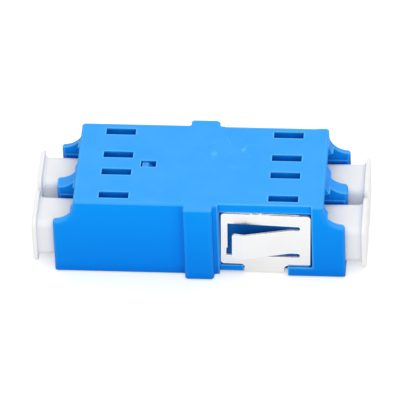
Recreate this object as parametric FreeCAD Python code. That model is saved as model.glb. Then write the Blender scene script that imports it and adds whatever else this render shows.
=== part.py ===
import FreeCAD, Part
import os

V = FreeCAD.Vector
os.makedirs("parts", exist_ok=True)

# ---- frame: X along the plugs, Y across the two ports, Z up through the latch side ----
# ---- origin: under the middle of the panel collar, on the flat underside ----

# interface sizes shared by every LC adapter
port_pitch = 6.25
plug_body = 4.52
plug_clearance = 0.02
channel_width = plug_body + plug_clearance
ferrule_dia = 1.25
catch_face_x = 10.09

# housing envelope
side_wall = 0.805
body_height = 9.4
wall_end_x = 14.8
wall_reach = 2.15
wall_tip_drop = 2.78
scoop_radius = 2.05
floor_thickness = 1.22
roof_thickness = 0.95
bay_ledge = 0.1
corner_round = 0.34
edge_round_end = 0.26
edge_break_top = 0.15
edge_break_under = 0.18
mouth_leadin = 0.3

# panel collar
collar_half_x = 1.47
collar_reach = 0.86
collar_round_left = 0.28
collar_round_right = 0.38
collar_root_left = 0.3
collar_root_right = 0.28

# roof core-outs over the latch catches, and the insert window
slot_length = 3.02
slot_width = 0.94
slot_offset = 1.79
window_near_x = 4.64
window_far_x = 6.18
window_width = 0.94

# latch catches
catch_inner_offset = 1.38
catch_depth = 1.67
catch_mouth_depth = 0.63
catch_flat = 0.5

# middle web, barrels and sleeves
web_thickness = 1.2
barrel_dia = 2.95
barrel_lip = 0.43
sleeve_length = 6.8
sleeve_od = 1.62
sleeve_slit = 0.34
sleeve_side_play = 0.05
sleeve_end_play = 0.02
sleeve_overhang = 0.1
sleeve_chamfer = 0.06
barrel_mouth_flare = 0.24
barrel_chamfer = 0.22

# clip seat, the same on both narrow sides
seat_x0 = 2.0
seat_x1 = 11.45
seat_depth = 0.22
pocket_step = 0.12
pocket_z0 = 1.24
pocket_top_wall = 1.08
strap_bed_depth = 0.48
strap_bed_x1 = 8.95
strap_side_gap = 0.2
lip_round = 0.3

# spring clip
sheet = 0.25
plate_side_gap = 0.1
plate_end_gap = 0.15
plate_low_gap = 0.12
plate_top_gap = 0.29
plate_corner = 0.35
strap_x0 = 4.66
strap_x1 = 8.66
strap_gap = 0.08
strap_bend = 0.5
strap_relief = 0.28
strap_lap = 1.0
shoulder_round = 0.42
clip_lean_deg = 1.4
window_slit = 0.52
window_rise = 0.12
tongue_slot_left = 0.67
tongue_slot_right = 1.05
tongue_slot_low = 1.14
tongue_slot_top = 1.4
tongue_notch = 1.0
tongue_notch_step = 0.12
tongue_notch_round = 0.11
tongue_root_length = 0.75
tongue_kick = 1.15
tongue_curl = 0.17
tongue_curl_length = 1.2
tongue_corner = 0.3
tongue_bend_shift = 0.05
window_pane_margin = 0.6

# divider insert
insert_side_play = 0.03
plate_rise = 0.64
barb_width = 0.84
barb_rise = 0.74
barb_gap = 0.14
barb_land = 0.6
barb_root_gap = 0.05
arm_root_x = 1.9
arm_thickness = 1.0
arm_slit_height = 0.3
arm_slit_end_x = 7.4

# dust caps
cap_side_play = 0.06
cap_corner = 0.7
cap_length = 8.0
cap_stand_left = 1.75
cap_stand_right = 1.65
cap_nose = 0.1
cap_neck_round = 0.38
cap_flange_reach = 0.55
cap_flange_thickness = 0.45
cap_flange_corner = 0.9
cap_edge_break = 0.14
cap_bore = 3.3
cap_end_wall = 1.1
rib_width = 0.5
rib_start = 0.7
rib_length = 4.1
rib_ramp = 0.6
rib_sink = 0.4

port_y = port_pitch / 2.0
channel_half = channel_width / 2.0
half_w = port_y + channel_half + side_wall
bay_half = channel_half + bay_ledge
channel_top_z = floor_thickness + channel_width
top_end_x = wall_end_x - wall_reach
axis_z = floor_thickness + channel_half
roof_under_z = body_height - roof_thickness
wall_tip_z = body_height - wall_tip_drop
catch_low_z = roof_under_z - catch_depth
catch_mouth_z = roof_under_z - catch_mouth_depth
barrel_tip_x = sleeve_length / 2.0 + sleeve_end_play + barrel_lip
seat_y = half_w - seat_depth
pocket_y = seat_y - sheet
pocket_x0 = seat_x0 + pocket_step
pocket_z1 = body_height - pocket_top_wall
plate_x0 = pocket_x0 + plate_side_gap
plate_x1 = seat_x1 - plate_end_gap
plate_z0 = pocket_z0 + plate_low_gap
plate_z1 = pocket_z1 - plate_top_gap
tongue_slot_x0 = plate_x0 + tongue_slot_left
tongue_slot_x1 = plate_x1 - tongue_slot_right
tongue_slot_z0 = plate_z0 + tongue_slot_low
tongue_slot_z1 = plate_z1 - tongue_slot_top
plate_top_z = channel_top_z + plate_rise
arm_slit_z = roof_under_z - arm_thickness - arm_slit_height
cap_half = channel_half - cap_side_play

# modelling helpers: hair overlap, overshoot of a cut, overlap of fused pieces, cosine of 45 degrees
EPS = 0.01
OVER = 1.0
LAP = 0.3
COS45 = 0.5 ** 0.5


def box(x0, x1, y0, y1, z0, z1):
    """Axis-aligned block between two corners, given in any order."""
    xa, xb = min(x0, x1), max(x0, x1)
    ya, yb = min(y0, y1), max(y0, y1)
    za, zb = min(z0, z1), max(z0, z1)
    return Part.makeBox(xb - xa, yb - ya, zb - za, V(xa, ya, za))


def polygon(points):
    """Flat face through a closed ring of points."""
    ring = [V(*p) for p in points]
    return Part.Face(Part.makePolygon(ring + [ring[0]]))


def cyl_x(radius, x0, x1, y, z):
    """Cylinder along X."""
    lo, hi = min(x0, x1), max(x0, x1)
    return Part.makeCylinder(radius, hi - lo, V(lo, y, z), V(1, 0, 0))


def kind(edge):
    """Curve type of an edge, empty where it has none."""
    try:
        return edge.Curve.TypeId
    except TypeError:
        return ""


def pick_edges(shape, direction, test):
    """Straight edges along one axis whose middle passes a test."""
    found = []
    for edge in shape.Edges:
        if kind(edge) != "Part::GeomLine":
            continue
        run = edge.Vertexes[-1].Point.sub(edge.Vertexes[0].Point)
        if run.Length < 1e-6:
            continue
        if abs(run.normalize().dot(direction)) < 0.999:
            continue
        mid = edge.valueAt((edge.FirstParameter + edge.LastParameter) / 2.0)
        if test(mid):
            found.append(edge)
    return found


def rounded(shape, radius, direction, test):
    """Fillet the edges that run along one axis and pass a test."""
    edges = pick_edges(shape, direction, test)
    if not edges:
        raise ValueError("no edge to round")
    return shape.makeFillet(radius, edges)


def broken(shape, size, direction, test):
    """Chamfer the edges that run along one axis and pass a test."""
    return shape.makeChamfer(size, pick_edges(shape, direction, test))


def near(a, b, tol=0.02):
    return abs(a - b) < tol


def fuse_all(shapes):
    out = shapes[0]
    if len(shapes) > 1:
        out = out.multiFuse(shapes[1:])
    return out.removeSplitter()


def one_solid(shape, name):
    """Check that a piece is one sound solid."""
    if len(shape.Solids) != 1 or not shape.isValid():
        raise ValueError("%s is not one valid solid" % name)
    return shape.Solids[0]


def rounded_square(x, half, corner, y, z):
    """Wire of a square with round corners, standing across X."""
    h = half - corner
    k = corner * COS45
    pts = []
    for sy, sz in ((1, 1), (-1, 1), (-1, -1), (1, -1)):
        cy, cz = y + sy * h, z + sz * h
        a = V(x, cy + sy * corner, cz)
        m = V(x, cy + sy * k, cz + sz * k)
        b = V(x, cy, cz + sz * corner)
        pts.append((a, m, b) if sy * sz > 0 else (b, m, a))
    edges = []
    for i, (a, m, b) in enumerate(pts):
        edges.append(Part.Arc(a, m, b).toShape())
        edges.append(Part.LineSegment(b, pts[(i + 1) % 4][0]).toShape())
    return Part.Wire(edges)


def loft_squares(stations, y, z):
    """Solid lofted through rounded squares given as (x, half size, corner)."""
    wires = [rounded_square(x, h, c, y, z) for x, h, c in stations]
    return Part.makeLoft(wires, True, True)


# ---------------------------------------------------------------- side profile

def side_profile_face(y):
    """Outline seen from the side: long floor, short roof, scooped wall ends."""
    k = COS45
    cx = top_end_x + scoop_radius
    cz = wall_tip_z + scoop_radius
    edges = []

    def line(a, b):
        edges.append(Part.LineSegment(V(a[0], y, a[1]), V(b[0], y, b[1])).toShape())

    def arc(a, m, b):
        edges.append(Part.Arc(V(a[0], y, a[1]), V(m[0], y, m[1]), V(b[0], y, b[1])).toShape())

    line((-wall_end_x, 0), (wall_end_x, 0))
    line((wall_end_x, 0), (wall_end_x, wall_tip_z))
    line((wall_end_x, wall_tip_z), (cx, wall_tip_z))
    arc((cx, wall_tip_z), (cx - k * scoop_radius, cz - k * scoop_radius), (top_end_x, cz))
    line((top_end_x, cz), (top_end_x, body_height))
    line((top_end_x, body_height), (-top_end_x, body_height))
    line((-top_end_x, body_height), (-top_end_x, cz))
    arc((-top_end_x, cz), (-cx + k * scoop_radius, cz - k * scoop_radius), (-cx, wall_tip_z))
    line((-cx, wall_tip_z), (-wall_end_x, wall_tip_z))
    line((-wall_end_x, wall_tip_z), (-wall_end_x, 0))
    return Part.Face(Part.Wire(edges))


def side_profile_solid(y0, y1):
    return side_profile_face(y0).extrude(V(0, y1 - y0, 0))


# ---------------------------------------------------------------- housing

def outer_block():
    """Filled body and collar with every outer edge rounded."""
    dx, dy, dz = V(1, 0, 0), V(0, 1, 0), V(0, 0, 1)
    b = side_profile_solid(-half_w, half_w)
    b = rounded(b, corner_round, dz, lambda m: near(abs(m.x), top_end_x))
    b = rounded(b, edge_round_end, dz, lambda m: near(abs(m.x), wall_end_x))
    extra = [collar()]
    for sy in (-1, 1):
        extra.append(collar_root(-1, sy, collar_root_left))
        extra.append(collar_root(1, sy, collar_root_right))
    b = fuse_all([b] + extra)
    b = broken(b, edge_break_top, dx,
               lambda m: near(m.z, body_height) and m.x > 2 * collar_half_x and m.y < 0)
    return broken(b, edge_break_under, dx,
                  lambda m: near(m.z, 0) and m.x > 2 * collar_half_x and m.y < 0)


def collar():
    """Panel stop: a plan shape swept through the full height."""
    w = half_w + collar_reach
    face = polygon([(-collar_half_x, -w, 0), (collar_half_x, -w, 0),
                    (collar_half_x, w, 0), (-collar_half_x, w, 0)])
    c = face.extrude(V(0, 0, body_height))
    dz = V(0, 0, 1)
    c = rounded(c, collar_round_left, dz, lambda m: m.x < 0)
    c = rounded(c, collar_round_right, dz, lambda m: m.x > 0)
    return c


def collar_root(sx, sy, radius):
    """Concave root between the collar face and the side of the body."""
    x = sx * collar_half_x
    y = sy * half_w
    xo, yo = x + sx * radius, y + sy * radius
    corner = V(x - sx * LAP, y - sy * LAP, 0)
    a = V(xo, y, 0)
    m = V(xo - sx * COS45 * radius, yo - sy * COS45 * radius, 0)
    b = V(x, yo, 0)
    a2 = V(xo, y - sy * LAP, 0)
    b2 = V(x - sx * LAP, yo, 0)
    wire = Part.Wire([Part.Arc(a, m, b).toShape(),
                      Part.LineSegment(b, b2).toShape(),
                      Part.LineSegment(b2, corner).toShape(),
                      Part.LineSegment(corner, a2).toShape(),
                      Part.LineSegment(a2, a).toShape()])
    return Part.Face(wire).extrude(V(0, 0, body_height))


def catch(side, port, hand):
    """One latch catch: hook face inboard, long lead-in ramp outboard."""
    y_in = port + hand * catch_inner_offset
    beside_insert = side < 0 and port * hand < 0
    y_out = port + hand * (bay_half - insert_side_play if beside_insert else bay_half + LAP)
    top = roof_under_z + LAP
    x0 = catch_face_x
    x1 = x0 + catch_flat
    x2 = wall_end_x
    face = polygon([(side * x0, y_in, top), (side * x0, y_in, catch_low_z),
                    (side * x1, y_in, catch_low_z), (side * x2, y_in, catch_mouth_z),
                    (side * x2, y_in, top)])
    return face.extrude(V(0, y_out - y_in, 0))


def catches(side):
    out = []
    for port in (-port_y, port_y):
        for hand in (-1, 1):
            out.append(catch(side, port, hand))
    return out


def port_space(side, y, depth_x):
    """Plug channel with the wider latch bay above it, for one port."""
    far = side * (wall_end_x + OVER)
    near_x = side * depth_x
    chan = box(near_x, far, y - channel_half, y + channel_half, floor_thickness, channel_top_z)
    bay = box(near_x, far, y - bay_half, y + bay_half, channel_top_z - EPS, roof_under_z)
    return fuse_all([chan, bay])


def mouth(side, y_lo, y_hi):
    """Lead-in bevels at the open end of a channel: two cheeks and the floor."""
    g = mouth_leadin
    x0 = side * (wall_end_x - g)
    x1 = side * wall_end_x
    cuts = []
    for y, out in ((y_lo, -1), (y_hi, 1)):
        cheek = polygon([(x0, y, floor_thickness), (x1, y, floor_thickness),
                         (x1, y + out * g, floor_thickness)])
        cuts.append(cheek.extrude(V(0, 0, body_height)))
    sill = polygon([(x0, y_lo, floor_thickness), (x1, y_lo, floor_thickness),
                    (x1, y_lo, floor_thickness - g)])
    cuts.append(sill.extrude(V(0, y_hi - y_lo, 0)))
    return fuse_all(cuts)


def right_space():
    """Two ports with the solid divider left standing between them."""
    parts = [port_space(1, y, web_thickness) for y in (-port_y, port_y)]
    parts += [mouth(1, y - channel_half, y + channel_half) for y in (-port_y, port_y)]
    space = fuse_all(parts)
    return space.cut(fuse_all(catches(1)))


def left_space():
    """One wide chamber that takes the divider insert."""
    c = port_y + channel_half
    b = port_y + bay_half
    far = -(wall_end_x + OVER)
    chan = box(0, far, -c, c, floor_thickness, channel_top_z)
    bay = box(0, far, -b, b, channel_top_z - EPS, roof_under_z)
    space = fuse_all([chan, bay, mouth(-1, -c, c)])
    return space.cut(fuse_all(catches(-1)))


def roof_slots():
    cuts = []
    for side in (-1, 1):
        for port in (-port_y, port_y):
            for hand in (-1, 1):
                y = port + hand * slot_offset
                x0 = side * catch_face_x
                x1 = side * (catch_face_x - slot_length)
                cuts.append(box(x0, x1, y - slot_width / 2, y + slot_width / 2,
                                roof_under_z - LAP, body_height + OVER))
    cuts.append(box(-window_near_x, -window_far_x, -window_width / 2, window_width / 2,
                    roof_under_z - LAP, body_height + OVER))
    return cuts


def clip_seat(hand):
    """Shallow step up through the roof edge, pocket for the plate, strap bed."""
    out = hand * (half_w + OVER)
    step = box(seat_x0, seat_x1, hand * seat_y, out, strap_bed_depth, body_height + OVER)
    step = step.cut(box(strap_bed_x1, seat_x1 + OVER, hand * (seat_y - OVER), out + hand * OVER,
                        -OVER, pocket_z0))
    pocket = box(pocket_x0, seat_x1, hand * pocket_y, out, pocket_z0, pocket_z1)
    lane = box(strap_x0 - strap_side_gap, strap_bed_x1, hand * pocket_y, out, -OVER, pocket_z0 + EPS)
    r = strap_relief
    x = strap_x0 - strap_side_gap
    bevel = polygon([(x, hand * (pocket_y - r), strap_bed_depth - EPS),
                     (x, hand * (pocket_y + EPS), strap_bed_depth - EPS),
                     (x, hand * (pocket_y + EPS), strap_bed_depth + r),
                     (x, hand * pocket_y, strap_bed_depth + r)])
    bevel = bevel.extrude(V(strap_bed_x1 - x, 0, 0))
    return [step, pocket, lane, bevel]


def strap_bed():
    """Broad shallow groove across the underside, its right lip rolled over."""
    w = half_w + OVER
    r = lip_round
    bed = box(seat_x0, strap_bed_x1, -w, w, -OVER, strap_bed_depth)
    roll = box(strap_bed_x1 - EPS, strap_bed_x1 + r, -w, w, -EPS, r)
    core = Part.makeCylinder(r, 2 * w, V(strap_bed_x1 + r, -w, r), V(0, 1, 0))
    return bed.fuse(roll.cut(core))


def barrel(side, x_root, y):
    """Hollow post that holds half of one sleeve."""
    tip = side * barrel_tip_x
    post = cyl_x(barrel_dia / 2, side * x_root, tip, y, axis_z)
    rim = [e for e in post.Edges
           if kind(e) == "Part::GeomCircle" and near(e.Curve.Center.x, tip)]
    return post.makeChamfer(barrel_chamfer, rim)


def sleeve_bore(side, y):
    """Sleeve chamber, then a funnel whose neck keeps the sleeve in."""
    r = sleeve_od / 2 + sleeve_side_play
    stop = sleeve_length / 2 + sleeve_end_play
    neck = sleeve_od / 2 - sleeve_overhang
    chamber = cyl_x(r, -side * EPS, side * stop, y, axis_z)
    funnel = Part.makeCone(neck, neck + barrel_mouth_flare, barrel_lip,
                           V(side * stop, y, axis_z), V(side, 0, 0))
    return [chamber, funnel]


def make_housing():
    b = outer_block()
    b = b.cut(right_space())
    b = b.cut(left_space())
    b = fuse_all([b] + [barrel(1, web_thickness - LAP, y) for y in (-port_y, port_y)])
    cuts = roof_slots() + [strap_bed()]
    for hand in (-1, 1):
        cuts += clip_seat(hand)
    for y in (-port_y, port_y):
        cuts += sleeve_bore(1, y)
    b = b.cut(cuts)
    return one_solid(b.removeSplitter(), "housing")


# ---------------------------------------------------------------- divider insert

def make_insert():
    """Left divider, cross plate and two barrels in one moulding."""
    low = channel_half
    fin = side_profile_solid(-(port_y - low), port_y - low)
    fin = fin.common(box(-wall_end_x, 0, -half_w, half_w, floor_thickness, channel_top_z))
    t = port_y - bay_half
    top = side_profile_solid(-t, t)
    top = top.common(box(-wall_end_x, -web_thickness, -half_w, half_w,
                         channel_top_z - EPS, roof_under_z))
    c = port_y + channel_half - insert_side_play
    plate = box(-web_thickness, 0, -c, c, floor_thickness, plate_top_z)
    posts = [barrel(-1, web_thickness - LAP, y) for y in (-port_y, port_y)]
    body = fuse_all([fin, top, plate] + posts)
    xr = -(window_far_x - barb_gap)
    xf = -window_near_x - barb_root_gap
    barb = polygon([(xr, -barb_width / 2, roof_under_z - LAP),
                    (xr, -barb_width / 2, roof_under_z + barb_rise),
                    (xr + barb_land, -barb_width / 2, roof_under_z + barb_rise),
                    (xf, -barb_width / 2, roof_under_z),
                    (xf, -barb_width / 2, roof_under_z - LAP)])
    body = fuse_all([body, barb.extrude(V(0, barb_width, 0))])
    cuts = [box(-arm_root_x, -arm_slit_end_x, -half_w, half_w,
                arm_slit_z, arm_slit_z + arm_slit_height),
            box(-arm_slit_end_x, -arm_slit_end_x + arm_slit_height, -half_w, half_w,
                arm_slit_z, roof_under_z + OVER)]
    for y in (-port_y, port_y):
        cuts += sleeve_bore(-1, y)
    body = body.cut(cuts)
    g = mouth_leadin
    w = port_y - channel_half
    for hand in (-1, 1):
        x0, x1 = -wall_end_x - EPS, -wall_end_x + g
        nose = polygon([(x0, hand * (w - g), 0), (x0, hand * (w + OVER), 0),
                        (x1, hand * (w + OVER), 0), (x1, hand * w, 0)])
        body = body.cut(nose.extrude(V(0, 0, body_height)))
    return one_solid(body.removeSplitter(), "divider_insert")


# ---------------------------------------------------------------- sleeves

def make_sleeve(y):
    """Split alignment sleeve, slit facing down."""
    ring = cyl_x(sleeve_od / 2, -sleeve_length / 2, sleeve_length / 2, y, axis_z)
    for x in (-1, 1):
        rim = [e for e in ring.Edges
               if kind(e) == "Part::GeomCircle" and near(e.Curve.Center.x, x * sleeve_length / 2)]
        ring = ring.makeChamfer(sleeve_chamfer, rim)
    ring = ring.cut(cyl_x(ferrule_dia / 2, -sleeve_length, sleeve_length, y, axis_z))
    slit = box(-sleeve_length, sleeve_length, y - sleeve_slit / 2, y + sleeve_slit / 2,
               axis_z - sleeve_od, axis_z)
    return one_solid(ring.cut(slit), "sleeve")


# ---------------------------------------------------------------- spring clip

def clip_plate(hand):
    """One side plate with its three-sided slit."""
    y0 = hand * pocket_y
    y1 = hand * seat_y
    p = box(plate_x0, plate_x1, y0, y1, plate_z0, plate_z1)
    p = rounded(p, plate_corner, V(0, 1, 0), lambda m: True)
    return p


def strap_bridge():
    """Narrow U that runs down one side, under the body and up the other."""
    zb = strap_bed_depth - strap_gap - sheet
    top = plate_z0 + strap_lap
    outer = box(strap_x0, strap_x1, -seat_y, seat_y, zb, top)
    outer = rounded(outer, strap_bend, V(1, 0, 0), lambda m: near(m.z, zb))
    inner = box(strap_x0 - OVER, strap_x1 + OVER, -pocket_y, pocket_y, zb + sheet, top + OVER)
    inner = rounded(inner, strap_bend - sheet, V(1, 0, 0), lambda m: near(m.z, zb + sheet))
    return outer.cut(inner)


def tongue_window(hand):
    """Hole left in the plate where the tongue was sheared out."""
    y0 = hand * (pocket_y - OVER)
    run = V(0, hand * (sheet + 2 * OVER), 0)
    s = window_slit
    x0, xr = tongue_slot_x0, tongue_slot_x1 - s / 2
    z0, z1 = tongue_slot_z0, tongue_slot_z1
    cuts = [polygon([(x0, y0, z0), (xr, y0, z0), (xr, y0, z0 + s), (x0 + s, y0, z0 + s),
                     (x0 + s, y0, z1 - s), (xr, y0, z1 - s), (xr, y0, z1), (x0, y0, z1 + window_rise)])]
    xp = xr - window_pane_margin
    cuts.append(polygon([(x0 + s, y0, z0 + s / 2), (xp, y0, z0 + s / 2),
                         (xp, y0, z1 - s / 2), (x0 + s, y0, z1 - s / 2)]))
    holes = [face.extrude(run) for face in cuts]
    step = x0 - tongue_notch_step
    notch = box(step, x0 + s, y0, y0 + run.y, z0, z0 + tongue_notch)
    holes.append(rounded(notch, tongue_notch_round, V(0, 1, 0), lambda m: near(m.x, step)))
    for z in (z0 + s / 2, z1 - s / 2):
        holes.append(Part.makeCylinder(s / 2, run.Length, V(xr, y0, z), V(0, hand, 0)))
    return fuse_all(holes)


def tongue(hand):
    """Latch tongue: kicked out from its root, its free end curled back."""
    z0 = tongue_slot_z0 + window_slit
    z1 = tongue_slot_z1 - window_slit
    xr = tongue_slot_x1 - window_slit / 2
    xk = xr - tongue_root_length
    xc = tongue_slot_x0 + window_slit + tongue_curl_length
    xe = tongue_slot_x0 + window_slit
    yo = seat_y
    lift = tongue_kick
    slope = lift / (xk - xc)
    run = (1 + slope * slope) ** 0.5
    t = sheet
    path = [(xr, yo), (xk, yo), (xc, yo + lift), (xe, yo + lift - tongue_curl)]
    back = [(xe, yo + lift - tongue_curl - t), (xc + tongue_bend_shift, yo + lift - t * run),
            (xk - t * slope, yo - t), (xr, yo - t)]
    face = polygon([(x, hand * y, z0) for x, y in path + back])
    solid = face.extrude(V(0, 0, z1 - z0))
    return rounded(solid, tongue_corner, V(0, 1, 0), lambda m: near(m.x, xe))


def make_clip():
    plates = [clip_plate(h) for h in (-1, 1)]
    c = fuse_all(plates + [strap_bridge()])
    for x in (strap_x0, strap_x1):
        c = rounded(c, shoulder_round, V(0, 1, 0),
                    lambda m: near(m.x, x) and near(m.z, plate_z0))
    c = c.cut([tongue_window(h) for h in (-1, 1)])
    c = fuse_all([c] + [tongue(h) for h in (-1, 1)])
    mid = V((plate_x0 + plate_x1) / 2, 0, (plate_z0 + plate_z1) / 2)
    c.rotate(mid, V(0, 1, 0), clip_lean_deg)
    return one_solid(c, "panel_clip")


# ---------------------------------------------------------------- dust caps

def cap_rib(x_in, side, y, dy, dz):
    """One ramped grip rib along a face of the cap, as high as the port wall."""
    root = cap_half - rib_sink
    x_out = x_in - rib_length
    prof = [(x_out, root), (x_out + rib_ramp, channel_half),
            (x_in - rib_ramp, channel_half), (x_in, root)]
    w = rib_width / 2
    if dy:
        face = polygon([(side * px, y + dy * r, axis_z - w) for px, r in prof])
        return face.extrude(V(0, 0, rib_width))
    face = polygon([(side * px, y - w, axis_z + dz * r) for px, r in prof])
    return face.extrude(V(0, rib_width, 0))


def cap_neck(side, y, x_flange):
    """Concave round between the plug and its flange, as two bevels."""
    r = cap_neck_round
    h = cap_half
    stations = []
    for back, rise in ((r, 0), (r * (1 - COS45), r * (1 - COS45)), (0, r)):
        stations.append((side * (x_flange - back), h + rise, cap_corner + rise))
    return loft_squares(stations, y, axis_z)


def make_cap(side, y, stand):
    """Hollow square plug with a thin square flange outside the port."""
    h = cap_half
    x_flange = wall_end_x + stand
    x_in = x_flange - cap_length
    x_neck = x_flange - cap_neck_round
    x_end = x_flange + cap_flange_thickness
    plug = loft_squares([(side * x_in, h - cap_nose, cap_corner),
                         (side * x_neck, h, cap_corner)], y, axis_z)
    flange = Part.Face(rounded_square(side * x_flange, h + cap_flange_reach,
                                      cap_flange_corner, y, axis_z))
    flange = flange.extrude(V(side * cap_flange_thickness, 0, 0))
    rim = [e for e in flange.Edges if all(near(v.Point.x, side * x_end) for v in e.Vertexes)]
    flange = flange.makeChamfer(cap_edge_break, rim)
    rib_end = x_in + rib_start + rib_length
    ribs = [cap_rib(rib_end, side, y, dy, dz) for dy, dz in ((1, 0), (-1, 0), (0, 1), (0, -1))]
    cap = fuse_all([plug, cap_neck(side, y, x_flange), flange] + ribs)
    bore = cyl_x(cap_bore / 2, side * (x_in - OVER), side * (x_end - cap_end_wall), y, axis_z)
    return one_solid(cap.cut(bore), "dust_cap")


NODES = {
    "housing": make_housing(),
    "divider_insert": make_insert(),
    "split_sleeve_near": make_sleeve(-port_y),
    "split_sleeve_far": make_sleeve(port_y),
    "panel_clip": make_clip(),
    "dust_cap_left_near": make_cap(-1, -port_y, cap_stand_left),
    "dust_cap_left_far": make_cap(-1, port_y, cap_stand_left),
    "dust_cap_right_near": make_cap(1, -port_y, cap_stand_right),
    "dust_cap_right_far": make_cap(1, port_y, cap_stand_right),
}

for name, shape in NODES.items():
    shape.exportStep("parts/%s.step" % name)
    print(name, round(shape.Volume, 2), "mm3", shape.BoundBox)
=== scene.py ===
import math
import random

import bmesh
import bpy
from mathutils import Matrix, Vector


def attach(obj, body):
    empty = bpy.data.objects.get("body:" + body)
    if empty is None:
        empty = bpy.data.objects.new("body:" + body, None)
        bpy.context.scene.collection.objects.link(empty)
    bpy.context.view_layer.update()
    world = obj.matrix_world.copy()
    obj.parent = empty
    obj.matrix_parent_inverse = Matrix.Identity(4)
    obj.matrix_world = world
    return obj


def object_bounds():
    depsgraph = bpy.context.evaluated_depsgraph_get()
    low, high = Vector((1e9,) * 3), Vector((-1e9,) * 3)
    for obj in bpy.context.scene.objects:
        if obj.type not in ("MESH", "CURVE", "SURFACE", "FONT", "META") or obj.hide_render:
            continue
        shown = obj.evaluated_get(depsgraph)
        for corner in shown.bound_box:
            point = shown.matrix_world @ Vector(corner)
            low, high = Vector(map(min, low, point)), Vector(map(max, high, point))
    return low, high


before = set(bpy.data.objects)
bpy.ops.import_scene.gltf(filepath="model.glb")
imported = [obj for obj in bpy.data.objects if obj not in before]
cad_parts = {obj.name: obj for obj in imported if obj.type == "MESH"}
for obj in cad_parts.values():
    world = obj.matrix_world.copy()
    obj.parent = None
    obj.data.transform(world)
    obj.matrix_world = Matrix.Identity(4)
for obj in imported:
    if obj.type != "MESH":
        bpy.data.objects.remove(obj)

MM = 0.001
cad_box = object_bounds()

# ---- camera: a long lens, a little to the clip end, well above the horizon ----
VIEW_AZIMUTH = math.radians(5.47)
VIEW_ELEVATION = math.radians(41.2)
VIEW_ROLL = math.radians(2.26)
VIEW_DISTANCE = 612.1 * MM
VIEW_NEAR = 50.0 * MM
VIEW_FAR = 10000.0 * MM
LENS_MM = 540.3
SENSOR_MM = 36.0
AIM = Vector((-0.31, 0.0, 4.65)) * MM

# ---- colours, linear ----
BLUE = (0.000, 0.320, 1.000, 1.0)
# painted shade: the colour the blue darkens to towards the bottom of the part
BLUE_LOW_SHADE = (0.000, 0.235, 0.850, 1.0)
# painted shade in crevices and narrow gaps
BLUE_SHADE = (0.000, 0.110, 0.550, 1.0)
# painted shade on the pocket wall behind the clip plate
CLIP_WALL_SHADE_BLUE = (0.000, 0.040, 0.200, 1.0)
# painted highlight along outer edges of the blue
BLUE_EDGE_HIGHLIGHT = (0.250, 0.850, 1.000, 1.0)
# pale blue: painted sheen on upward faces, and the tone of the faint flow marks
BLUE_SHEEN_AND_FLOW = (0.450, 1.000, 1.000, 1.0)
STEEL = (0.90, 0.89, 0.865, 1.0)
STEEL_DULL = (0.85, 0.84, 0.82, 1.0)
# white: painted highlight on the clip's outer edges, and the brightest flakes of the burr
STEEL_RIM = (1.00, 1.00, 1.00, 1.0)
SHEARED = (0.66, 0.54, 0.44, 1.0)
CAP_WHITE = (0.97, 0.955, 0.93, 1.0)
CAP_SHADE = (0.94, 0.93, 0.91, 1.0)
ZIRCONIA = (0.84, 0.83, 0.79, 1.0)
ZIRCONIA_WARM = (0.80, 0.78, 0.73, 1.0)
FLOOR_WHITE = (0.78, 0.78, 0.78, 1.0)

# ---- light: lamps in watts, places and sizes in metres ----
WORLD_LEVEL = 0.94
KEY_POWER = 0.17
KEY_PLACE = (0.02, 0.14, 0.30)
KEY_TARGET = (0.0, 0.0, 0.0)
KEY_SIZE = (0.30, 0.24)
FILL_POWER = 0.42
FILL_PLACE = (0.05, -0.28, 0.28)
FILL_TARGET = (0.0, 0.0, 0.004)
FILL_SIZE = (0.24, 0.24)

# ---- floor: a hair below the part, so that the two never share a plane ----
FLOOR_HALF = 1.2
FLOOR_Z = -0.01 * MM
FLOOR_GLOW = 0.45
FLOOR_SHEEN = 0.32

# ---- edges and gaps: rounding, and the reach of painted shade in gaps and of painted highlights on edges ----
EDGE_ROUND = 0.03 * MM
STEEL_EDGE_ROUND = 0.05 * MM
BEVEL_SAMPLES = 6
GAP_SAMPLES = 4
CREVICE_REACH = 1.6 * MM
CREVICE_FULL = 0.35
CORNER_REACH = 0.20 * MM
CORNER_FULL = 0.45
CORNER_GAIN = 0.45
STEEL_CORNER_REACH = 0.14 * MM
STEEL_CORNER_GAIN = 1.0

# ---- moulded blue ----
HEIGHT = cad_box[1][2]
# share of painted sheen on upward faces
SHEEN_SHARE = 0.11
FLOW_PLACE = Vector((2.7 * MM, 1.8 * MM, HEIGHT))
FLOW_REACH = 3.0 * MM
FLOW_CORE = 0.4 * FLOW_REACH
FLOW_WIDTH = 0.035
FLOW_SHARE = 0.26
CLIP_SHADE = 0.62
SHADE_START = 0.10 * MM
SHADE_FULL = 0.05 * MM
BLUE_SPECULAR = 0.06

# ---- steel, caps and bump ----
CUT_METAL = 0.35
CUT_ROUGHER = 0.25
CAP_SPECULAR = 0.3
CAP_SCATTER_SHARE = 0.2
CAP_SCATTER_RADIUS = (1.0, 0.95, 0.9)
CAP_SCATTER_DEPTH = 0.6 * MM
BUMP_DEPTH = 0.02 * MM
POLISHED_BUMP_DEPTH = 0.01 * MM

# ---- clip plate: its lean, and the height above which only its plain top stands ----
CLIP_LEAN = math.radians(1.4)
PLATE_TOP_FROM = 7.9 * MM
ON_FACE = 0.01 * MM
ON_CREST = 0.005 * MM

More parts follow.
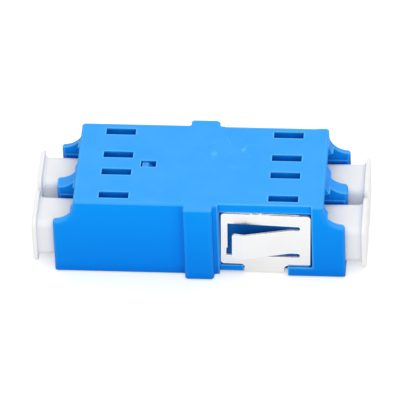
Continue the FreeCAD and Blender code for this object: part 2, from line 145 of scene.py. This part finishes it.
# ---- burr along the clip plate's top edge: shares of the edge, sizes in mm ----
BURR_FROM = 0.02
BURR_TO = 0.90
BURR_STEPS = 110
BURR_TUFTS = (0.33, 0.43, 0.52)
BURR_SPREAD = 0.03
BURR_SINK = 0.03
BURR_HEM = 0.14
BURR_FOOT = (0.0, 0.03)
BURR_HEEL = (0.19, 0.235)
BURR_CREST = (0.02, 0.08)
BURR_RISE = 0.03
BURR_RAGGED = (0.04, 0.10)
BURR_TEARS = (0.02, 0.08, 0.15, 0.17)
BURR_SWAY = (-0.02, 0.02)
BURR_SEEDS = ((-1, 11), (1, 23))

GRID_WIDTH = 8
GRID_STEP = 200


# ---------------------------------------------------------------- shader nodes

def node(tree, kind, **values):
    """A shader node, laid out on a grid in order of making, with its sockets set by name."""
    row, column = divmod(len(tree.nodes), GRID_WIDTH)
    n = tree.nodes.new(kind)
    n.location = (GRID_STEP * column, -GRID_STEP * row)
    for name, value in values.items():
        n.inputs[name.replace("_", " ")].default_value = value
    return n


def maths(tree, operation, *terms):
    """A math node whose terms are numbers or other nodes' outputs."""
    n = node(tree, "ShaderNodeMath")
    n.operation = operation
    for i, term in enumerate(terms):
        if isinstance(term, (int, float)):
            n.inputs[i].default_value = term
        else:
            tree.links.new(term, n.inputs[i])
    return n.outputs[0]


def new_material(name):
    """Empty node material with its shader and output already joined."""
    m = bpy.data.materials.new(name)
    m.use_nodes = True
    t = m.node_tree
    t.nodes.clear()
    out = node(t, "ShaderNodeOutputMaterial")
    shader = node(t, "ShaderNodeBsdfPrincipled")
    t.links.new(shader.outputs[0], out.inputs[0])
    return m, t, shader


def place_of(tree):
    """Point of the surface in object space."""
    return node(tree, "ShaderNodeTexCoord").outputs["Object"]


def along_axis(tree, vector, axis):
    """One coordinate of a vector."""
    split = node(tree, "ShaderNodeSeparateXYZ")
    tree.links.new(vector, split.inputs[0])
    return split.outputs[axis]


def face_normal(tree):
    """Normal of the surface as modelled, before any bump."""
    return node(tree, "ShaderNodeNewGeometry").outputs["Normal"]


def noise(tree, scale, detail, rough, stretch=(1, 1, 1), distortion=0.0):
    """Noise in object space, its scale in features per metre, stretched along the axes."""
    mapping = node(tree, "ShaderNodeMapping", Scale=stretch)
    tree.links.new(place_of(tree), mapping.inputs["Vector"])
    n = node(tree, "ShaderNodeTexNoise", Scale=scale, Detail=detail, Roughness=rough,
             Distortion=distortion)
    tree.links.new(mapping.outputs[0], n.inputs["Vector"])
    return n.outputs[0]


def to_range(tree, source, to_low, to_high, low=0.0, high=1.0):
    """Maps one range of values onto another, held at its ends."""
    r = node(tree, "ShaderNodeMapRange", From_Min=low, From_Max=high, To_Min=to_low, To_Max=to_high)
    tree.links.new(source, r.inputs["Value"])
    return r.outputs[0]


def bump(tree, source, strength, distance=BUMP_DEPTH, normal=None):
    """Height to normal, on top of another normal where one is given."""
    b = node(tree, "ShaderNodeBump", Strength=strength, Distance=distance)
    tree.links.new(source, b.inputs["Height"])
    if normal is not None:
        tree.links.new(normal, b.inputs["Normal"])
    return b.outputs[0]


def mix_colour(tree, factor, a, b):
    """Mixes two colours, each a value or another node's output."""
    m = node(tree, "ShaderNodeMix")
    m.data_type = "RGBA"
    tree.links.new(factor, m.inputs[0])
    for socket, colour in ((m.inputs[6], a), (m.inputs[7], b)):
        if isinstance(colour, tuple):
            socket.default_value = colour
        else:
            tree.links.new(colour, socket)
    return m.outputs[2]


def round_edges(tree, radius):
    """Normal that turns softly over every edge."""
    b = node(tree, "ShaderNodeBevel", Radius=radius)
    b.samples = BEVEL_SAMPLES
    return b.outputs[0]


def crevice(tree):
    """Mask of painted shade: one deep in narrow gaps, none on open faces, by how much lies within
    reach.
    """
    n = node(tree, "ShaderNodeAmbientOcclusion", Distance=CREVICE_REACH)
    n.samples = GAP_SAMPLES
    shut = to_range(tree, n.outputs["AO"], 1.0, 0.0, low=CREVICE_FULL)
    return maths(tree, "POWER", shut, 2.0)


def outer_edge(tree, reach, gain):
    """How near an outer corner is, by how thin the solid is within reach: the mask of painted edge
    highlights.
    """
    n = node(tree, "ShaderNodeAmbientOcclusion", Distance=reach)
    n.samples = GAP_SAMPLES
    n.inside = True
    n.only_local = True
    return to_range(tree, n.outputs["AO"], gain, 0.0, low=CORNER_FULL)


def facing(tree, axis, low, high):
    """One where the face looks along an axis, either way, and none across it."""
    along = maths(tree, "ABSOLUTE", along_axis(tree, face_normal(tree), axis))
    return to_range(tree, along, 0.0, 1.0, low, high)


def facing_up(tree):
    """One on faces that look up, where the painted sheen goes."""
    return to_range(tree, along_axis(tree, face_normal(tree), "Z"), 0.0, 1.0, low=0.35, high=0.95)


# ---------------------------------------------------------------- materials

def flow_marks(tree):
    """Faint wisps round one place of the roof, as a melt front leaves in a moulding."""
    swirl = noise(tree, scale=340.0, detail=1.0, rough=0.4, stretch=(1.0, 0.8, 1.0), distortion=1.6)
    off_line = maths(tree, "ABSOLUTE", maths(tree, "SUBTRACT", swirl, 0.5))
    line = to_range(tree, off_line, 1.0, 0.0, high=FLOW_WIDTH)
    far = node(tree, "ShaderNodeVectorMath")
    far.operation = "DISTANCE"
    far.inputs[1].default_value = FLOW_PLACE
    tree.links.new(place_of(tree), far.inputs[0])
    inside = to_range(tree, far.outputs["Value"], 1.0, 0.0, low=FLOW_CORE, high=FLOW_REACH)
    patches = noise(tree, scale=800.0, detail=3.0, rough=0.6)
    broken = to_range(tree, patches, 0.0, 1.0, low=0.45, high=0.70)
    return maths(tree, "MULTIPLY", maths(tree, "MULTIPLY", line, inside), broken)


def plate_faces():
    """Distance from the middle plane of the clip plate's back and front faces."""
    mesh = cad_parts["panel_clip"].data
    high = [abs(v.co.y) for v in mesh.vertices if v.co.z > PLATE_TOP_FROM]
    return min(high), max(high)


def shade_behind_clip(tree):
    """One on the pocket wall that the clip plate covers, where painted shade goes."""
    back, front = plate_faces()
    out = maths(tree, "ABSOLUTE", along_axis(tree, place_of(tree), "Y"))
    deep = to_range(tree, out, 1.0, 0.0, low=back, high=(back + front) / 2)
    wall = to_range(tree, out, 0.0, 1.0, low=back - SHADE_START, high=back - SHADE_FULL)
    sideways = facing(tree, "Y", low=0.8, high=0.95)
    return maths(tree, "MULTIPLY", deep, maths(tree, "MULTIPLY", wall, sideways))


def moulded_blue(name):
    """Moulded blue: painted shade towards the bottom, in crevices and behind the clip, painted
    sheen on top, faint flow marks, painted highlight on edges, fine grain.
    """
    m, t, s = new_material(name)
    cloud = noise(t, scale=160.0, detail=2.0, rough=0.5, stretch=(0.6, 1.0, 1.0))
    # painted shade: the blue darkens towards the bottom, broken by a little random cloud
    lower_shade = to_range(t, along_axis(t, place_of(t), "Z"), 1.0, 0.0, high=HEIGHT)
    low = maths(t, "ADD", lower_shade, to_range(t, cloud, -0.12, 0.12))
    colour = mix_colour(t, low, BLUE, BLUE_LOW_SHADE)
    # painted sheen: upward faces lighter, in patches
    sheen_patches = noise(t, scale=330.0, detail=4.0, rough=0.6)
    patchy = to_range(t, sheen_patches, 0.82, 1.12, low=0.3, high=0.7)
    painted_sheen = maths(t, "MULTIPLY", maths(t, "MULTIPLY", facing_up(t), SHEEN_SHARE), patchy)
    colour = mix_colour(t, painted_sheen, colour, BLUE_SHEEN_AND_FLOW)
    streak = maths(t, "MULTIPLY", flow_marks(t), FLOW_SHARE)
    colour = mix_colour(t, streak, colour, BLUE_SHEEN_AND_FLOW)
    # painted shade in crevices and narrow gaps
    colour = mix_colour(t, crevice(t), colour, BLUE_SHADE)
    # painted shade on the pocket wall behind the clip plate
    shade = maths(t, "MULTIPLY", shade_behind_clip(t), CLIP_SHADE)
    colour = mix_colour(t, shade, colour, CLIP_WALL_SHADE_BLUE)
    # painted highlight along outer edges
    colour = mix_colour(t, outer_edge(t, CORNER_REACH, CORNER_GAIN), colour, BLUE_EDGE_HIGHLIGHT)
    t.links.new(colour, s.inputs["Base Color"])
    grain = noise(t, scale=5200.0, detail=3.0, rough=0.6)
    t.links.new(to_range(t, grain, 0.32, 0.46), s.inputs["Roughness"])
    relief = bump(t, grain, strength=0.06, normal=round_edges(t, EDGE_ROUND))
    t.links.new(relief, s.inputs["Normal"])
    s.inputs["Specular IOR Level"].default_value = BLUE_SPECULAR
    return m


def spring_steel():
    """Bright rolled strip: painted highlight on outer edges, fine lengthwise scratches, dull
    patches, torn brown sheared edges.
    """
    m, t, s = new_material("spring_steel_strip")
    cloud = noise(t, scale=420.0, detail=3.0, rough=0.6)
    skin = mix_colour(t, cloud, STEEL, STEEL_DULL)
    # painted highlight along the clip's outer edges
    edge_highlight = outer_edge(t, STEEL_CORNER_REACH, STEEL_CORNER_GAIN)
    skin = mix_colour(t, edge_highlight, skin, STEEL_RIM)
    tear = noise(t, scale=7000.0, detail=2.0, rough=0.7, stretch=(1.0, 0.15, 1.0))
    torn = to_range(t, tear, 0.0, 1.0, low=0.35, high=0.65)
    cut = mix_colour(t, torn, SHEARED, STEEL_DULL)
    face = facing(t, "Y", low=0.30, high=0.60)
    t.links.new(mix_colour(t, face, cut, skin), s.inputs["Base Color"])
    scratch = noise(t, scale=900.0, detail=6.0, rough=0.7, stretch=(0.12, 1.0, 3.0))
    rolled = to_range(t, scratch, 0.15, 0.27)
    dull = maths(t, "MULTIPLY", maths(t, "SUBTRACT", 1.0, face), CUT_ROUGHER)
    t.links.new(maths(t, "ADD", rolled, dull), s.inputs["Roughness"])
    relief = bump(t, scratch, strength=0.05, normal=round_edges(t, STEEL_EDGE_ROUND))
    t.links.new(relief, s.inputs["Normal"])
    t.links.new(to_range(t, face, CUT_METAL, 1.0), s.inputs["Metallic"])
    return m


def torn_steel():
    """Bright torn metal of the burr."""
    m, t, s = new_material("spring_steel_burr")
    flake = noise(t, scale=9000.0, detail=3.0, rough=0.6)
    t.links.new(mix_colour(t, flake, STEEL_RIM, STEEL), s.inputs["Base Color"])
    t.links.new(to_range(t, flake, 0.15, 0.45), s.inputs["Roughness"])
    t.links.new(bump(t, flake, strength=0.2), s.inputs["Normal"])
    s.inputs["Metallic"].default_value = 1.0
    return m


def cap_plastic():
    """White soft polyethylene: light scatters inside it, and its skin is satin."""
    m, t, s = new_material("dust_cap_polyethylene")
    cloud = noise(t, scale=220.0, detail=2.0, rough=0.5)
    t.links.new(mix_colour(t, cloud, CAP_WHITE, CAP_SHADE), s.inputs["Base Color"])
    skin = noise(t, scale=3600.0, detail=3.0, rough=0.6)
    t.links.new(to_range(t, skin, 0.42, 0.55), s.inputs["Roughness"])
    relief = bump(t, skin, strength=0.08, normal=round_edges(t, EDGE_ROUND))
    t.links.new(relief, s.inputs["Normal"])
    s.inputs["Specular IOR Level"].default_value = CAP_SPECULAR
    s.inputs["Subsurface Weight"].default_value = CAP_SCATTER_SHARE
    s.inputs["Subsurface Radius"].default_value = CAP_SCATTER_RADIUS
    s.inputs["Subsurface Scale"].default_value = CAP_SCATTER_DEPTH
    return m


def zirconia():
    """Polished ceramic sleeve with a fine ground skin."""
    m, t, s = new_material("split_sleeve_zirconia")
    cloud = noise(t, scale=900.0, detail=2.0, rough=0.5)
    t.links.new(mix_colour(t, cloud, ZIRCONIA, ZIRCONIA_WARM), s.inputs["Base Color"])
    ground = noise(t, scale=6000.0, detail=3.0, rough=0.6, stretch=(0.1, 1.0, 1.0))
    t.links.new(to_range(t, ground, 0.08, 0.18), s.inputs["Roughness"])
    relief = bump(t, ground, strength=0.04, distance=POLISHED_BUMP_DEPTH)
    t.links.new(relief, s.inputs["Normal"])
    return m


def dress(name, material):
    """Gives a CAD node one material in every slot."""
    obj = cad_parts[name]
    if not obj.material_slots:
        obj.data.materials.append(material)
    for slot in obj.material_slots:
        slot.material = material


def dress_all():
    """Materials of the nine CAD nodes."""
    dress("housing", moulded_blue("moulded_blue_housing"))
    dress("divider_insert", moulded_blue("moulded_blue_insert"))
    dress("panel_clip", spring_steel())
    white = cap_plastic()
    ceramic = zirconia()
    for where in ("near", "far"):
        dress("split_sleeve_" + where, ceramic)
        for end in ("left", "right"):
            dress("dust_cap_%s_%s" % (end, where), white)


# ---------------------------------------------------------------- burr on the clip

def top_edge(side):
    """Two ends of the straight top edge of one clip plate, on its outer face."""
    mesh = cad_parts["panel_clip"].data
    lean = math.tan(CLIP_LEAN)

    def level(c):
        return c.z + c.x * lean

    high = [v.co for v in mesh.vertices if side * v.co.y > 0 and level(v.co) > PLATE_TOP_FROM]
    outer = max(side * c.y for c in high)
    face = [c for c in high if side * c.y > outer - ON_FACE]
    crest = max(level(c) for c in face)
    edge = [c for c in face if level(c) > crest - ON_CREST]
    return min(edge, key=lambda c: c.x).copy(), max(edge, key=lambda c: c.x).copy()


def tuft(share):
    """One at the middle of a torn tuft, none between the tufts."""
    return max(math.exp(-((share - place) / BURR_SPREAD) ** 2) for place in BURR_TUFTS)


def burr_rings(side, seed, form):
    """Three-cornered sections of the burr, ragged and evenly spaced along the top edge."""
    dice = random.Random(seed)
    start, end = top_edge(side)
    inward = Vector((0, -side, 0))
    rings = []
    for i in range(BURR_STEPS + 1):
        share = BURR_FROM + (BURR_TO - BURR_FROM) * i / BURR_STEPS
        high = tuft(share)
        base = start.lerp(end, share) - Vector((0, 0, BURR_SINK * MM))
        hem = BURR_HEM * (1 - high)
        foot = base + inward * (hem + dice.uniform(*BURR_FOOT)) * MM
        heel = base + inward * dice.uniform(*BURR_HEEL) * MM
        crest = base + inward * (hem + dice.uniform(*BURR_CREST)) * MM
        crest.z += (BURR_RISE + dice.uniform(*BURR_RAGGED) + high * dice.choice(BURR_TEARS)) * MM
        crest.x += dice.uniform(*BURR_SWAY) * MM
        rings.append([form.verts.new(p) for p in (foot, crest, heel)])
    return rings


def shear_burr(side, seed, material):
    """Torn sliver that the blanking die left along the top edge of one clip plate."""
    form = bmesh.new()
    rings = burr_rings(side, seed, form)
    for a, b in zip(rings, rings[1:]):
        for k in range(3):
            form.faces.new((a[k], a[(k + 1) % 3], b[(k + 1) % 3], b[k]))
    form.faces.new(rings[0])
    form.faces.new(list(reversed(rings[-1])))
    bmesh.ops.triangulate(form, faces=form.faces)
    bmesh.ops.recalc_face_normals(form, faces=form.faces)
    name = "shear_burr_near" if side < 0 else "shear_burr_far"
    mesh = bpy.data.meshes.new(name)
    form.to_mesh(mesh)
    form.free()
    mesh.materials.append(material)
    piece = bpy.data.objects.new(name, mesh)
    bpy.context.scene.collection.objects.link(piece)
    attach(piece, "adapter_body")


# ---------------------------------------------------------------- studio

def floor_material():
    """White sweep: takes the object's shadow, and shows white to the lens and to metal."""
    m = bpy.data.materials.new("studio_floor")
    m.use_nodes = True
    t = m.node_tree
    t.nodes.clear()
    path = node(t, "ShaderNodeLightPath")
    lens = maths(t, "MULTIPLY", path.outputs["Is Camera Ray"], FLOOR_GLOW)
    metal = maths(t, "MULTIPLY", path.outputs["Is Glossy Ray"], FLOOR_SHEEN)
    glow = node(t, "ShaderNodeEmission")
    t.links.new(maths(t, "MAXIMUM", lens, metal), glow.inputs["Strength"])
    diffuse = node(t, "ShaderNodeBsdfDiffuse", Color=FLOOR_WHITE)
    add = node(t, "ShaderNodeAddShader")
    t.links.new(diffuse.outputs[0], add.inputs[0])
    t.links.new(glow.outputs[0], add.inputs[1])
    out = node(t, "ShaderNodeOutputMaterial")
    t.links.new(add.outputs[0], out.inputs[0])
    return m


def make_floor():
    """Large plain sheet under the part."""
    h = FLOOR_HALF
    mesh = bpy.data.meshes.new("floor")
    mesh.from_pydata([(-h, -h, 0), (h, -h, 0), (h, h, 0), (-h, h, 0)], [], [(0, 1, 2, 3)])
    mesh.materials.append(floor_material())
    floor = bpy.data.objects.new("floor", mesh)
    bpy.context.scene.collection.objects.link(floor)
    floor.location.z = FLOOR_Z


def make_world():
    """Even white studio light, shown as white to the lens and to metal."""
    world = bpy.data.worlds.new("studio")
    bpy.context.scene.world = world
    world.use_nodes = True
    t = world.node_tree
    t.nodes.clear()
    path = node(t, "ShaderNodeLightPath")
    seen = maths(t, "MAXIMUM", path.outputs["Is Camera Ray"], path.outputs["Is Glossy Ray"])
    back = node(t, "ShaderNodeBackground")
    t.links.new(to_range(t, seen, WORLD_LEVEL, 1.0), back.inputs["Strength"])
    out = node(t, "ShaderNodeOutputWorld")
    t.links.new(back.outputs[0], out.inputs[0])


def area_light(name, place, target, size, power):
    """Soft rectangular lamp aimed at a point."""
    data = bpy.data.lights.new(name, "AREA")
    data.shape = "RECTANGLE"
    data.size, data.size_y = size
    data.energy = power
    lamp = bpy.data.objects.new(name, data)
    bpy.context.scene.collection.objects.link(lamp)
    lamp.location = place
    lamp.rotation_euler = (Vector(target) - Vector(place)).to_track_quat("-Z", "Y").to_euler()


def make_lights():
    """Key from behind and above, fill from the lens side."""
    area_light("key", KEY_PLACE, KEY_TARGET, KEY_SIZE, KEY_POWER)
    area_light("fill", FILL_PLACE, FILL_TARGET, FILL_SIZE, FILL_POWER)


def make_camera():
    """Places the lens by azimuth, elevation and roll about the aim point."""
    flat = math.cos(VIEW_ELEVATION)
    back = Vector((math.sin(VIEW_AZIMUTH) * flat, -math.cos(VIEW_AZIMUTH) * flat,
                   math.sin(VIEW_ELEVATION)))
    right = Vector((0, 0, 1)).cross(back).normalized()
    up = back.cross(right)
    across = right * math.cos(-VIEW_ROLL) + up * math.sin(-VIEW_ROLL)
    rise = up * math.cos(-VIEW_ROLL) - right * math.sin(-VIEW_ROLL)
    turn = Matrix((across, rise, back)).transposed().to_4x4()
    data = bpy.data.cameras.new("camera")
    data.lens = LENS_MM
    data.sensor_width = SENSOR_MM
    data.clip_start = VIEW_NEAR
    data.clip_end = VIEW_FAR
    cam = bpy.data.objects.new("camera", data)
    bpy.context.scene.collection.objects.link(cam)
    cam.matrix_world = Matrix.Translation(AIM + back * VIEW_DISTANCE) @ turn
    bpy.context.scene.camera = cam


dress_all()
burr_metal = torn_steel()
for side, seed in BURR_SEEDS:
    shear_burr(side, seed, burr_metal)
make_floor()
make_world()
make_lights()
make_camera()
bpy.context.scene.view_settings.view_transform = "Standard"
